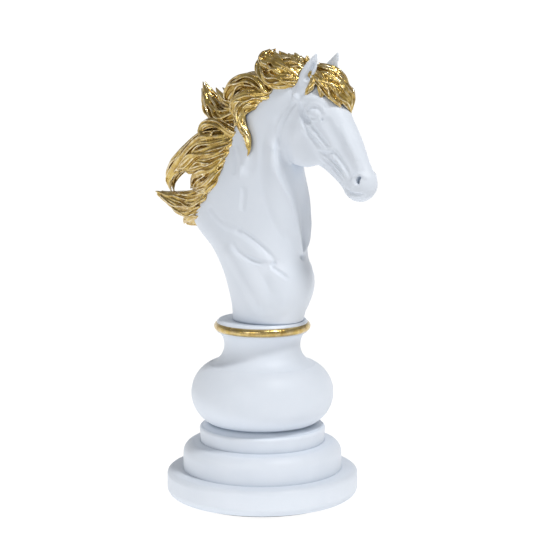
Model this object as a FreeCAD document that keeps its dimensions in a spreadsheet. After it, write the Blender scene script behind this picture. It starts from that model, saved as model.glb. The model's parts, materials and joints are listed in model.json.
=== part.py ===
"""Decorative chess knight: a horse bust with a gilded mane on a turned, sand-weighted pedestal.

Row frame: millimetres, origin on the pedestal's axis at the underside of the foot pad,
+Z up, +X the way the chest faces, +Y the horse's left.
"""

import FreeCAD, Part
import math
import os
import re
import Sketcher
from FreeCAD import Placement, Rotation, Vector

doc = FreeCAD.newDocument("ChessKnight")

# ---------------------------------------------------------------- driving dimensions
DIMENSIONS = {
    # foot pad and plinth
    "pad_thick": 1.5, "pad_radius": 47.0, "pad_hole_radius": 10.0,
    "plinth_radius": 55.4, "plinth_top": 16.8, "plinth_foot_round": 5.0, "plinth_top_round": 3.0,
    "plinth_bore": 38.0, "plate_ledge": 5.5, "plate_seat_radius": 46.2,
    # stepped mouldings
    "lower_step_base": 17.2, "lower_step_radius": 46.0, "lower_step_shoulder": 26.3,
    "lower_step_round": 6.4, "lower_step_bore": 34.0,
    "upper_step_base": 33.3, "upper_step_radius": 36.5, "upper_step_shoulder": 40.4,
    "upper_step_round": 1.8, "upper_step_bore": 30.0, "upper_step_lip": 26.0, "upper_step_tuck": 0.6,
    "upper_step_seat": 37,
    # bulb, collar and gilded ring
    "bulb_base": 44.4, "bulb_foot_radius": 30.6, "bulb_round": 19.0, "bulb_bore": 21.5,
    "bulb_bore_round": 15.0, "bulb_lip": 24.9,
    "collar_base": 78.5, "collar_foot_radius": 30.0, "collar_cove": 11.56, "collar_neck_top": 97,
    "collar_flare_radius": 24.76, "collar_rim_radius": 26.2, "collar_rim_low": 97.6,
    "collar_top": 104.3, "collar_bore": 16.0, "collar_plate_under": 96, "collar_lip": 21.4,
    "ring_height": 100.4, "ring_centre_radius": 25.5, "ring_thick_radius": 2.4,
    "collar_edge": 1.2, "lip_depth": 3.0, "lip_gap": 0.1, "bore_rise": 1.0,
    # fastening: tie rod, base plate, nut, insert, dowels
    "rod_radius": 3.0, "rod_hole_radius": 3.3, "rod_low": 2.6, "rod_high": 118,
    "plate_radius": 46.1, "boss_radius": 12.0, "boss_top": 13.0, "well_radius": 9.5, "well_top": 9.6,
    "washer_radius": 8.0, "washer_thick": 1.6, "nut_flats": 10.0, "nut_high": 5.0,
    "screw_circle": 42.0, "screw_radius": 1.5, "screw_head_radius": 2.5, "screw_head_high": 1.7,
    "screw_long": 11.0, "screw_count": 4,
    "insert_radius": 5.5, "insert_top": 120, "insert_flange_radius": 7.5, "insert_flange_thick": 1.5,
    "insert_flange_rise": 5.0,
    "dowel_radius": 2.0, "dowel_low": 98, "dowel_high": 111, "dowel_offset": 13.5,
    # filling: sand and its rubber plug
    "sand_top": 34, "plug_offset": 26.0, "plug_hole_radius": 7.08, "plug_radius": 7.0,
    "plug_tip_radius": 6.0, "plug_tip_high": 11.0, "plug_flange_radius": 9.5, "plug_flange_low": 0.4,
    "plug_grip_radius": 4.8, "plug_grip_deep": 3.4, "plug_bar": 2.4, "plug_pocket_gap": 0.6,
    # hair and ear pins
    "pin_radius": 1.0, "pin_long": 11.0,
    # how far a cutting tool runs past the face that it cuts
    "tool_past": 1.0,
}

# Neck and chest stations: forward, left, up, half depth, half width, lean in degrees.
NECK = [
    (4, 0, 104.3, 20.6, 18.5, 0),
    (5, 0, 112, 21.6, 20, 0),
    (5.7, 0, 123, 25, 21.5, 0),
    (3.9, 0, 132.5, 27, 21.5, 0),
    (-1.4, 0, 143.5, 29.6, 20.5, 2),
    (-8.8, 0, 159, 38, 18.5, 4),
    (-5, 0, 179, 34, 16.5, 8),
    (0, 0, 196.5, 28.5, 14.5, 18),
    (7, 0, 213.5, 23.5, 12.8, 34),
    (16, -0.2, 225.5, 18.5, 11.5, 58),
    (27, -0.4, 231.5, 14.5, 10.5, 82),
]
# Head stations from poll to muzzle: along the face, above the face line, half height, half width.
HEAD = [
    (-5, -8.5, 7.5, 6.5),
    (2, -9.5, 14, 10.5),
    (12, -11.5, 19, 12),
    (24, -13, 22, 11.8),
    (36, -10, 19.2, 10),
    (42, -6.7, 16.1, 8.8),
    (48, -4.6, 13.8, 7.8),
    (59, -2.5, 10.8, 7),
    (66, -1.7, 9.2, 7.2),
    (71, -1.7, 6.8, 6),
    (74, -1.8, 2.6, 2.6),
]
HEAD_FRAME = {"poll_x": 38, "poll_y": -0.5, "poll_z": 243.6, "head_turn": -5, "head_drop": 60.8}
# Ears, from root to tip in the head frame: along, above, outward, half width, half thickness.
EAR = [(3, -6.5, 7.2, 3.8, 3.4), (-1, 0, 8.8, 4, 2.8), (-4.2, 6.4, 9.4, 3, 1.9), (-8.3, 12.5, 9.4, 0.6, 0.5)]
EAR_SIDES = {"right_ear": 1, "left_ear": -1}
# The middle of each ear's pin (along, above, outward) and the way it points in the head frame.
EAR_PIN, EAR_PIN_WAY = (1.6, -4.2, 7.8), (-4, 6.5, 1.6)
# Locks of hair: forward, left, up, half height, half thickness along each lock's own path.
MANE = {
    "mane_poll_lock": [(26, 0, 247, 5.5, 8), (16, 0, 245.5, 9.5, 11.5), (5.5, 0, 243.5, 11, 12.5),
                       (0, 0, 251, 5, 5.5), (2.5, 0, 258.6, 1, 1)],
    "mane_upper_lock": [(3, 0, 229, 9, 12.5), (-8, 0, 232.5, 12, 12), (-19, 0, 232.5, 10, 9.5),
                        (-26, 0, 227, 6.5, 6.5), (-29.5, 0, 218.5, 2.5, 3)],
    "mane_wing_lock": [(-14, 0, 212, 7.5, 12), (-26, 0, 216.5, 9.5, 10.5), (-36.5, 0, 226.5, 6, 6),
                       (-43, 0, 239, 0.9, 0.9)],
    "mane_lower_lock": [(-20, 0, 197, 8.5, 13.5), (-34, 0, 203, 11.5, 12.5), (-49, 0, 200, 10, 9),
                        (-60, 0, 189, 7, 6.5), (-64.5, 0, 178.5, 3.4, 4), (-62, 0, 172.5, 1.2, 1.6)],
    "mane_curl_lock": [(-26, 0, 184, 8.5, 13.5), (-38, 0, 187, 8, 10.5), (-46.5, 0, 182.5, 5, 6),
                       (-49.5, 0, 175.5, 2, 2.4)],
    "mane_tail_lock": [(-34, 0, 169.5, 8.5, 14), (-46, 0, 168, 7.5, 10), (-58, 0, 168.8, 4.8, 5.5),
                       (-69, 0, 171, 2.6, 3), (-77, 0, 173.5, 0.8, 0.8)],
    "mane_tip_lock": [(-40, 0, 162.5, 5.5, 8), (-49, 0, 159.5, 4.6, 5), (-57, 0, 156.6, 0.9, 0.9)],
    "mane_side_lock": [(-5, -8.5, 226, 5, 4), (-1.5, -13.8, 216, 4.6, 3.2), (1.5, -15.6, 206, 3, 2.4),
                       (0, -15.6, 197.5, 0.7, 0.7)],
}
# Forelock in the head frame: along, above, right, half width, half thickness.
FORELOCK = [(-4, 1, 0, 6.5, 4.5), (3, 7, -0.5, 9.5, 6), (11, 10.2, -1, 9.5, 5.2), (19, 10.4, -1.5, 7, 3.8),
            (27, 8.4, -2, 1, 0.9)]
# The middle of the forelock's pin in the head frame; it stands square to the brow.
FORELOCK_PIN = (5.5, 5.5, 0)
# Pins that hold the mane: where each one crosses the joint face, and which way it points.
MANE_PINS = {
    "mane_poll_lock": ((12, 0, 241), (-0.3, 0, 0.95)),
    "mane_upper_lock": ((-7, 0, 227), (-0.6, 0, 0.8)),
    "mane_wing_lock": ((-20.5, 0, 212.5), (-0.8, 0, 0.6)),
    "mane_lower_lock": ((-29, 0, 199), (-0.9, 0, 0.43)),
    "mane_curl_lock": ((-37, 0, 185.5), (-1, 0, 0.1)),
    "mane_tail_lock": ((-43.5, 0, 168), (-1, 0, 0)),
}

# ---------------------------------------------------------------- spreadsheet
sheet = doc.addObject("Spreadsheet::Sheet", "Dims")
ALIASES = []


def set_dim(alias, value):
    """Puts one plain number in the next row of the sheet, under its alias."""
    row = len(ALIASES) + 1
    sheet.set(f"A{row}", alias)
    sheet.set(f"B{row}", str(value))
    sheet.setAlias(f"B{row}", alias)
    ALIASES.append(alias)


for alias, value in {**DIMENSIONS, **HEAD_FRAME}.items():
    set_dim(alias, value)
doc.recompute()


def bound(expression):
    """The expression with each alias written as a reference to the sheet."""
    return re.sub(r"[a-z_]+[a-z0-9_]*", lambda m: f"Dims.{m[0]}" if m[0] in ALIASES else m[0], expression)


def value_of(expression):
    return float(sheet.evalExpression(bound(expression)))


def bind(item, **properties):
    """Binds properties of a document object to expressions over the sheet."""
    for name, expression in properties.items():
        item.setExpression(name.replace("__", "."), bound(expression))
    return item


# ---------------------------------------------------------------- building blocks
def cylinder(name, radius, low, high, x="0", y="0"):
    item = doc.addObject("Part::Cylinder", name)
    return bind(item, Radius=radius, Height=f"({high}) - ({low})", Placement__Base__x=x,
                Placement__Base__y=y, Placement__Base__z=low)


def cone(name, low_radius, high_radius, low, high, x="0", y="0"):
    item = doc.addObject("Part::Cone", name)
    return bind(item, Radius1=low_radius, Radius2=high_radius, Height=f"({high}) - ({low})",
                Placement__Base__x=x, Placement__Base__y=y, Placement__Base__z=low)


def cut(name, base, tool):
    item = doc.addObject("Part::Cut", name)
    item.Base, item.Tool = base, tool
    return item


def fuse(name, parts):
    item = doc.addObject("Part::MultiFuse", name)
    item.Shapes = parts
    return item


def group(name, parts):
    item = doc.addObject("Part::Compound", name)
    item.Links = parts
    return item


def origin_plane(body, role):
    return next(f for f in body.Origin.OriginFeatures if f.Role == role)


def hold(sketch, name, expression, *constraint):
    """Adds a named dimension to a sketch and binds it to the sheet."""
    index = sketch.addConstraint(Sketcher.Constraint(*constraint, value_of(expression)))
    sketch.renameConstraint(index, name)
    sketch.setExpression("Constraints." + name, bound(expression))


def arc_between(start, end, radius):
    """An anticlockwise arc: from start to end for a positive radius, from end to start for a negative one."""
    first, last = (start, end) if radius > 0 else (end, start)
    chord = last - first
    reach = math.sqrt(radius * radius - chord.Length ** 2 / 4)
    centre = (first + last) / 2 + Vector(-chord.y, chord.x, 0).normalize() * reach
    angles = [math.atan2(p.y - centre.y, p.x - centre.x) for p in (first, last)]
    return Part.ArcOfCircle(Part.Circle(centre, Vector(0, 0, 1), abs(radius)), *angles)


def revolved(name, outline):
    """A body turned about +Z. The outline is a closed list of (radius, height) expressions;
    a third entry is the radius of the arc that leads to the next point, positive when the
    arc bulges to the right of the way it is drawn."""
    body = doc.addObject("PartDesign::Body", name)
    sketch = body.newObject("Sketcher::SketchObject", name + "_profile")
    sketch.AttachmentSupport = [(origin_plane(body, "XZ_Plane"), "")]
    sketch.MapMode = "FlatFace"
    points = [Vector(value_of(corner[0]), value_of(corner[1]), 0) for corner in outline]
    count = len(outline)
    starts, ends = [], []
    for i, corner in enumerate(outline):
        start, end = points[i], points[(i + 1) % count]
        radius = value_of(corner[2]) if len(corner) == 3 else 0
        sketch.addGeometry(arc_between(start, end, radius) if radius else Part.LineSegment(start, end), False)
        starts.append(2 if radius < 0 else 1)
        ends.append(1 if radius < 0 else 2)
    for i in range(count):
        after = (i + 1) % count
        sketch.addConstraint(Sketcher.Constraint("Coincident", i, ends[i], after, starts[after]))
    for i, corner in enumerate(outline):
        for kind, expression in (("DistanceX", corner[0]), ("DistanceY", corner[1])):
            hold(sketch, f"{kind}_{i}", expression, kind, -1, 1, i, starts[i])
        if len(corner) == 3:
            hold(sketch, f"arc_{i}", corner[2].lstrip("-"), "Radius", i)
    turn = body.newObject("PartDesign::Revolution", name + "_turn")
    turn.Profile = sketch
    turn.ReferenceAxis = (sketch, ["V_Axis"])
    turn.Angle = 360
    body.Tip = turn
    return body


def station(name, centre, along, across, half_along, half_across):
    """An ellipse across a loft; its two radii become two new cells of the sheet."""
    major, minor = (along, across) if half_along >= half_across else (across, along)
    for suffix, value in (("_long", max(half_along, half_across)), ("_short", min(half_along, half_across))):
        set_dim(name + suffix, round(value, 4))
    item = doc.addObject("Part::Ellipse", name)
    item.Placement = Placement(centre, Rotation(major, minor, Vector(), "XYZ"))
    return item


def loft(name, stations):
    """A closed skin through stations of (centre, along, across, half along, half across)."""
    sections = [station(f"{name}_{i}", *entry) for i, entry in enumerate(stations)]
    doc.recompute([sheet])
    for section in sections:
        bind(section, MajorRadius=section.Name + "_long", MinorRadius=section.Name + "_short")
    item = doc.addObject("Part::Loft", name)
    item.Sections, item.Solid, item.Ruled = sections, True, False
    return item


def lock(name, path, side=Vector(0, 1, 0)):
    """A tapering lock of hair through (centre, half height, half thickness) entries."""
    stations = []
    for i, (centre, half_height, half_thick) in enumerate(path):
        before, after = path[max(i - 1, 0)][0], path[min(i + 1, len(path) - 1)][0]
        tangent = (after - before).normalize()
        across = (side - tangent * side.dot(tangent)).normalize()
        along = across.cross(tangent)
        stations.append((centre, along, across, half_height, half_thick))
    return loft(name, stations)


def pin(name, centre, direction):
    item = doc.addObject("Part::Cylinder", name)
    bind(item, Radius="pin_radius", Height="pin_long")
    way = Vector(*direction).normalize()
    start = centre - way * (value_of("pin_long") / 2)
    item.Placement = Placement(start, Rotation(Vector(0, 0, 1), way))
    return item


# ---------------------------------------------------------------- head frame
turn_angle, drop_angle = (math.radians(value_of(a)) for a in ("head_turn", "head_drop"))
HEADING = Vector(math.cos(turn_angle), math.sin(turn_angle), 0)
FACE = HEADING * math.cos(drop_angle) + Vector(0, 0, -math.sin(drop_angle))
BROW = HEADING * math.sin(drop_angle) + Vector(0, 0, math.cos(drop_angle))
RIGHT = Vector(math.sin(turn_angle), -math.cos(turn_angle), 0)
POLL = Vector(*(value_of(a) for a in ("poll_x", "poll_y", "poll_z")))


def head_point(along, above, right):
    return POLL + FACE * along + BROW * above + RIGHT * right


# ---------------------------------------------------------------- pedestal
def make_screws():
    screws = []
    for i in range(int(value_of("screw_count"))):
        angle = f"(45 + 90 * {i})"
        x, y = f"screw_circle * cos({angle})", f"screw_circle * sin({angle})"
        low = "pad_thick"
        head_top, tip = f"{low} + screw_head_high", f"{low} + screw_long"
        head = cone(f"screw_head_{i}", "screw_head_radius", "screw_radius", low, head_top, x, y)
        shank = cylinder(f"screw_shank_{i}", "screw_radius", low, tip, x, y)
        screws.append(fuse(f"screw_{i}", [head, shank]))
    return group("base_screws", screws)


def make_plinth(screws):
    blank = revolved("plinth_blank", [
        ("plate_seat_radius", "pad_thick"),
        ("plinth_radius - plinth_foot_round", "pad_thick", "plinth_foot_round"),
        ("plinth_radius", "pad_thick + plinth_foot_round"),
        ("plinth_radius", "plinth_top - plinth_top_round", "plinth_top_round"),
        ("plinth_radius - plinth_top_round", "plinth_top"),
        ("lower_step_radius", "lower_step_base"),
        ("plinth_bore", "lower_step_base"),
        ("plinth_bore", "plate_ledge"),
        ("plate_seat_radius", "plate_ledge"),
    ])
    return cut("plinth", blank, screws)


def make_lower_step():
    return revolved("lower_step", [
        ("lower_step_bore", "lower_step_base - lip_depth"),
        ("plinth_bore - lip_gap", "lower_step_base - lip_depth"),
        ("plinth_bore - lip_gap", "lower_step_base"),
        ("lower_step_radius", "lower_step_base"),
        ("lower_step_radius", "lower_step_shoulder", "lower_step_round"),
        ("lower_step_radius - lower_step_round", "lower_step_shoulder + lower_step_round"),
        ("upper_step_radius", "upper_step_base"),
        ("upper_step_bore", "upper_step_base"),
        ("upper_step_bore", "upper_step_base - lip_depth"),
        ("lower_step_bore", "lower_step_shoulder + bore_rise"),
    ])


def make_upper_step():
    return revolved("upper_step", [
        ("upper_step_lip", "upper_step_base - lip_depth"),
        ("upper_step_bore - lip_gap", "upper_step_base - lip_depth"),
        ("upper_step_bore - lip_gap", "upper_step_base"),
        ("upper_step_radius - upper_step_tuck", "upper_step_base"),
        ("upper_step_radius", "upper_step_shoulder", "upper_step_round"),
        ("upper_step_radius - upper_step_round", "upper_step_shoulder + upper_step_round"),
        ("bulb_foot_radius", "bulb_base"),
        ("bulb_lip + lip_gap", "bulb_base"),
        ("bulb_lip + lip_gap", "upper_step_seat"),
    ])


def make_bulb():
    return revolved("bulb", [
        ("bulb_bore", "bulb_base - lip_depth"),
        ("bulb_lip", "bulb_base - lip_depth"),
        ("bulb_lip", "bulb_base"),
        ("bulb_foot_radius", "bulb_base", "bulb_round"),
        ("bulb_foot_radius", "collar_base"),
        ("bulb_bore", "collar_base"),
        ("bulb_bore", "collar_base - lip_depth", "-bulb_bore_round"),
        ("bulb_bore", "bulb_base + lip_depth + bore_rise"),
    ])


def make_collar(ring, dowels):
    blank = revolved("collar_blank", [
        ("rod_hole_radius", "collar_plate_under"),
        ("collar_bore", "collar_plate_under"),
        ("collar_bore", "collar_base - lip_depth"),
        ("collar_lip", "collar_base - lip_depth"),
        ("collar_lip", "collar_base"),
        ("collar_foot_radius", "collar_base", "-collar_cove"),
        ("collar_flare_radius", "collar_neck_top"),
        ("collar_rim_radius", "collar_rim_low"),
        ("collar_rim_radius", "collar_top - collar_edge"),
        ("collar_rim_radius - collar_edge", "collar_top"),
        ("rod_hole_radius", "collar_top"),
    ])
    grooved = cut("collar_grooved", blank, ring)
    return cut("collar", grooved, dowels)


def make_ring():
    item = doc.addObject("Part::Torus", "collar_ring")
    return bind(item, Radius1="ring_centre_radius", Radius2="ring_thick_radius",
                Placement__Base__z="ring_height")


# ---------------------------------------------------------------- fastening and filling
def make_base_plate(screws):
    blank = revolved("base_plate_blank", [
        ("rod_hole_radius", "well_top"),
        ("well_radius", "well_top"),
        ("well_radius", "pad_thick"),
        ("plate_radius", "pad_thick"),
        ("plate_radius", "plate_ledge"),
        ("boss_radius", "plate_ledge"),
        ("boss_radius", "boss_top"),
        ("rod_hole_radius", "boss_top"),
    ])
    hole = cylinder("plate_fill_hole", "plug_hole_radius", "0", "plate_ledge + tool_past", x="plug_offset")
    return cut("base_plate", cut("plate_with_fill_hole", blank, hole), screws)


def make_foot_pad():
    disc = cylinder("pad_disc", "pad_radius", "0", "pad_thick")
    hole = cylinder("pad_hole", "pad_hole_radius", "-tool_past", "pad_thick + tool_past", x="plug_offset")
    return cut("foot_pad", disc, hole)


def make_nut():
    """A plain hexagon nut, drawn as a sketch and padded."""
    body = doc.addObject("PartDesign::Body", "base_nut")
    sketch = body.newObject("Sketcher::SketchObject", "nut_profile")
    sketch.AttachmentSupport = [(origin_plane(body, "XY_Plane"), "")]
    sketch.MapMode = "FlatFace"
    under = "well_top - washer_thick - nut_high"
    sketch.AttachmentOffset = Placement(Vector(0, 0, value_of(under)), Rotation())
    sketch.setExpression("AttachmentOffset.Base.z", bound(under))
    reach = value_of("nut_flats / sqrt(3)")
    corners = [Vector(reach * math.cos(math.radians(60 * i)), reach * math.sin(math.radians(60 * i)), 0)
               for i in range(6)]
    for i in range(6):
        sketch.addGeometry(Part.LineSegment(corners[i], corners[(i + 1) % 6]), False)
    for i in range(6):
        sketch.addConstraint(Sketcher.Constraint("Coincident", i, 2, (i + 1) % 6, 1))
    for i in range(6):
        for kind, way in (("DistanceX", "cos"), ("DistanceY", "sin")):
            hold(sketch, f"{kind}_{i}", f"nut_flats / sqrt(3) * {way}({60 * i})", kind, -1, 1, i, 1)
    pad = body.newObject("PartDesign::Pad", "nut_pad")
    pad.Profile = sketch
    pad.setExpression("Length", bound("nut_high"))
    body.Tip = pad
    return body


def make_insert(rod):
    sleeve = cylinder("insert_sleeve", "insert_radius", "collar_top", "insert_top")
    low = "collar_top + insert_flange_rise"
    flange = cylinder("insert_flange", "insert_flange_radius", low, f"{low} + insert_flange_thick")
    return cut("bust_insert", fuse("insert_blank", [sleeve, flange]), rod)


def make_dowels():
    made = [cylinder(f"dowel_{i}", "dowel_radius", "dowel_low", "dowel_high", x=x)
            for i, x in enumerate(("dowel_offset", "-dowel_offset"))]
    return group("locating_dowels", made)


def make_sand():
    blank = revolved("sand_blank", [
        ("rod_radius", "boss_top"),
        ("boss_radius", "boss_top"),
        ("boss_radius", "plate_ledge"),
        ("plinth_bore", "plate_ledge"),
        ("plinth_bore", "lower_step_base - lip_depth"),
        ("lower_step_bore", "lower_step_base - lip_depth"),
        ("lower_step_bore", "lower_step_shoulder + bore_rise"),
        ("upper_step_bore", "upper_step_base - lip_depth"),
        ("upper_step_lip", "upper_step_base - lip_depth"),
        ("bulb_lip + lip_gap", "sand_top"),
        ("rod_radius", "sand_top"),
    ])
    pocket = cylinder("sand_pocket", "plug_radius + plug_pocket_gap", "plate_ledge - tool_past",
                      "plug_tip_high + plug_pocket_gap", x="plug_offset")
    return cut("sand_ballast", blank, pocket)


def make_plug():
    x = "plug_offset"
    flange = cylinder("plug_flange", "plug_flange_radius", "plug_flange_low", "pad_thick", x=x)
    stem = cylinder("plug_stem", "plug_radius", "pad_thick", "plate_ledge", x=x)
    tip = cone("plug_tip", "plug_radius", "plug_tip_radius", "plate_ledge", "plug_tip_high", x=x)
    recess = cylinder("plug_recess", "plug_grip_radius", "0", "plug_grip_deep", x=x)
    bar = doc.addObject("Part::Box", "plug_bar_block")
    bind(bar, Length="3 * plug_grip_radius", Width="plug_bar", Height="plug_grip_deep + 2 * tool_past",
         Placement__Base__x="plug_offset - 3 * plug_grip_radius / 2", Placement__Base__y="-plug_bar / 2",
         Placement__Base__z="plug_flange_low - tool_past")
    grip = cut("plug_grip_gap", recess, bar)
    return cut("fill_plug", fuse("plug_blank", [flange, stem, tip]), grip)


# ---------------------------------------------------------------- bust and hair
def neck_stations():
    stations = []
    for x, y, z, half_depth, half_width, lean in NECK:
        tip = math.radians(lean)
        along = Vector(math.cos(tip), 0, -math.sin(tip))
        stations.append((Vector(x, y, z), along, Vector(0, 1, 0), half_depth, half_width))
    return stations


def head_stations():
    return [(head_point(along, above, 0), BROW, RIGHT, half_height, half_width)
            for along, above, half_height, half_width in HEAD]


def make_bust(fixings):
    """The solid casting of head, neck and chest, before and after its holes are drilled."""
    blank = fuse("bust_blank", [loft("neck_skin", neck_stations()), loft("head_skin", head_stations())])
    return blank, cut("bust", blank, group("bust_fixings", fixings))


def make_ear(name, side, bust_blank, ear_pin):
    path = [(head_point(a, b, side * c), wide, thick) for a, b, c, wide, thick in EAR]
    blank = lock(name + "_blank", path, side=HEADING)
    return cut(name, cut(name + "_seated", blank, bust_blank), ear_pin)


def make_lock(name, path, pins, laid):
    """A lock trimmed to sit on everything that was laid before it, then drilled for its pins."""
    blank = lock(name + "_blank", [(Vector(x, y, z), high, thick) for x, y, z, high, thick in path])
    return cut(name, cut(name + "_seated", blank, group(name + "_under", laid)), pins)


def make_forelock(stud, laid):
    fringe = [(head_point(a, b, c), thick, wide) for a, b, c, wide, thick in FORELOCK]
    blank = lock("forelock_blank", fringe, side=RIGHT)
    return cut("forelock", blank, group("forelock_under", [*laid, stud]))


def build():
    parts = {}
    parts["base_screws"] = make_screws()
    parts["tie_rod"] = cylinder("tie_rod", "rod_radius", "rod_low", "rod_high")
    parts["collar_ring"] = make_ring()
    parts["locating_dowels"] = make_dowels()
    parts["foot_pad"] = make_foot_pad()
    parts["base_plate"] = make_base_plate(parts["base_screws"])
    parts["plinth"] = make_plinth(parts["base_screws"])
    parts["lower_step"] = make_lower_step()
    parts["upper_step"] = make_upper_step()
    parts["bulb"] = make_bulb()
    parts["collar"] = make_collar(parts["collar_ring"], parts["locating_dowels"])
    washer = cylinder("washer_disc", "washer_radius", "well_top - washer_thick", "well_top")
    parts["base_washer"] = cut("base_washer", washer, parts["tie_rod"])
    parts["base_nut"] = cut("base_nut_drilled", make_nut(), parts["tie_rod"])
    parts["bust_insert"] = make_insert(parts["tie_rod"])
    parts["sand_ballast"] = make_sand()
    parts["fill_plug"] = make_plug()

    mane_pins = [pin(name + "_pin", Vector(*where), way) for name, (where, way) in MANE_PINS.items()]
    ear_pins = {side: pin(f"ear_pin_{i}", head_point(*EAR_PIN[:2], side * EAR_PIN[2]),
                          head_point(*EAR_PIN_WAY[:2], side * EAR_PIN_WAY[2]) - POLL)
                for i, side in enumerate(EAR_SIDES.values())}
    parts["mane_pins"] = group("mane_pins", mane_pins)
    parts["ear_pins"] = group("ear_pins", list(ear_pins.values()))
    parts["forelock_pin"] = pin("forelock_stud", head_point(*FORELOCK_PIN), BROW)
    fixings = [parts[name] for name in ("mane_pins", "ear_pins", "forelock_pin", "tie_rod", "bust_insert",
                                        "locating_dowels")]
    bust_blank, parts["bust"] = make_bust(fixings)
    for name, side in EAR_SIDES.items():
        parts[name] = make_ear(name, side, bust_blank, ear_pins[side])
    laid = [bust_blank, *(parts[name] for name in EAR_SIDES)]
    for name, path in MANE.items():
        parts[name] = make_lock(name, path, parts["mane_pins"], laid)
        laid = laid + [parts[name]]
    parts["forelock"] = make_forelock(parts["forelock_pin"], laid)
    return parts


def check_and_write(parts):
    """Stops on any failed object or bad shape, then writes one STEP file a sub-part."""
    doc.recompute()
    for item in doc.Objects:
        if {"Invalid", "Error"} & set(item.State):
            raise RuntimeError(f"{item.Name} failed: {item.State}")
    os.makedirs("parts", exist_ok=True)
    for name, item in parts.items():
        shape = item.Shape
        if shape.isNull() or not shape.isValid() or not shape.Solids:
            raise RuntimeError(f"{name} has no sound shape")
        item.Label = name
        shape.exportStep(os.path.join("parts", name + ".step"))
        print(f"{name}: {len(shape.Solids)} solid(s), {shape.Volume / 1000:.2f} cm3")


check_and_write(build())
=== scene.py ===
"""Looks of the ornamental chess knight: a sculpted horse bust and a gilded mane on the turned pedestal.

Sizes are in millimetres in the row frame (+X the way the chest faces, +Y the horse's left, +Z up)
and become metres only where a mesh is made.
"""

import json
import math

import bpy
import numpy as np
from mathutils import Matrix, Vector
from mathutils.bvhtree import BVHTree


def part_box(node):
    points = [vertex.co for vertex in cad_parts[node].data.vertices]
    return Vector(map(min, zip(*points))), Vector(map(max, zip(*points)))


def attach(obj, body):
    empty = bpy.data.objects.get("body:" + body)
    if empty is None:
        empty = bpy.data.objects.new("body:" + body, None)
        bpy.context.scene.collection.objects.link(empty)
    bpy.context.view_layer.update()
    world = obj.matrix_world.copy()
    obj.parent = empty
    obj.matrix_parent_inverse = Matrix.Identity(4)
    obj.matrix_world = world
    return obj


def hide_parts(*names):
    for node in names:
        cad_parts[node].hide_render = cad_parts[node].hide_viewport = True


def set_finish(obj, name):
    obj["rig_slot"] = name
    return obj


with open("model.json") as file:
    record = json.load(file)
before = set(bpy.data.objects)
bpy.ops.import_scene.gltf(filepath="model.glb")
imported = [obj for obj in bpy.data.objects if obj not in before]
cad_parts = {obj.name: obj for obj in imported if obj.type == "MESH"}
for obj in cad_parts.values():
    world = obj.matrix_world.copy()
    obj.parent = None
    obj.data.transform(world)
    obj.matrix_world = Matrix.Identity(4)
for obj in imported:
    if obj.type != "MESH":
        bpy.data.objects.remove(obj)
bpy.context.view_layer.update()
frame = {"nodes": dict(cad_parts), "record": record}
MM = 0.001
BODY = "body"
RANDOM = np.random.default_rng(7)

# ------------------------------------------------------------------ driving sizes
BUST_VOXEL = 0.5
HAIR_VOXEL = 0.38
COLLAR_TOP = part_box("collar")[1].z / MM

# Neck stations: forward, left, up, half depth, half width, lean in degrees.
NECK = [
    (4.0, 0.0, COLLAR_TOP - 0.4, 20.6, 18.5, 0.0),
    (5.0, 0.0, 112.0, 21.6, 20.0, 0.0),
    (5.7, 0.0, 123.0, 25.0, 21.5, 0.0),
    (3.9, 0.0, 132.5, 27.0, 21.5, 0.0),
    (-1.4, 0.0, 143.5, 29.6, 20.5, 2.0),
    (-8.8, 0.0, 159.0, 38.0, 18.5, 4.0),
    (-5.0, 0.0, 179.0, 34.0, 16.5, 8.0),
    (0.5, 0.0, 196.5, 29.0, 14.5, 18.0),
    (7.0, 0.0, 213.5, 23.5, 12.8, 34.0),
    (16.0, -0.2, 225.5, 18.5, 11.5, 58.0),
    (27.0, -0.4, 231.5, 14.5, 10.5, 82.0),
]
# Head stations: along the face, above the face line, half height, half width, extra width of the
# brow side.
HEAD = [
    (-5.0, -8.5, 7.5, 6.5, 0.0),
    (2.0, -9.5, 14.0, 10.5, 0.05),
    (12.0, -11.5, 19.0, 12.0, 0.08),
    (24.0, -12.4, 21.4, 11.8, 0.06),
    (36.0, -9.6, 19.0, 9.8, 0.0),
    (42.0, -6.7, 16.3, 8.8, 0.0),
    (48.0, -4.6, 13.8, 7.7, 0.0),
    (59.0, -2.3, 10.8, 7.0, -0.05),
    (66.0, -1.3, 9.9, 7.3, -0.05),
    (71.0, -1.5, 7.8, 6.2, -0.05),
    (74.2, -1.8, 3.2, 3.0, 0.0),
]
# Jowl plates on both sides of the head: along, above, outward, half height, half thickness.
JOWL = [
    (9.0, -12.0, 8.5, 3.0, 1.5),
    (13.0, -16.5, 9.6, 8.0, 3.2),
    (19.0, -20.5, 9.8, 13.5, 4.0),
    (26.0, -22.5, 8.8, 15.0, 4.0),
    (33.0, -20.0, 7.2, 12.5, 3.4),
    (39.0, -16.0, 6.2, 8.0, 2.4),
    (43.0, -13.0, 5.5, 3.0, 1.5),
]
# Ears, root to tip in the head frame: along, above, outward, half width, half thickness.
EAR = [
    (3.0, -6.5, 7.2, 4.2, 3.4),
    (-1.0, 0.0, 8.8, 4.6, 2.8),
    (-4.2, 6.4, 9.4, 3.6, 1.9),
    (-8.3, 12.5, 9.4, 0.6, 0.5),
]
POLL = Vector((38.0, -0.5, 243.6))
HEAD_TURN, HEAD_DROP = math.radians(-5.0), math.radians(60.8)
HEADING = Vector((math.cos(HEAD_TURN), math.sin(HEAD_TURN), 0))
FACE = HEADING * math.cos(HEAD_DROP) - Vector((0, 0, math.sin(HEAD_DROP)))
BROW = HEADING * math.sin(HEAD_DROP) + Vector((0, 0, math.cos(HEAD_DROP)))
RIGHT = Vector((math.sin(HEAD_TURN), -math.cos(HEAD_TURN), 0))


def head_point(along, above, right):
    return POLL + FACE * along + BROW * above + RIGHT * right


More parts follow.
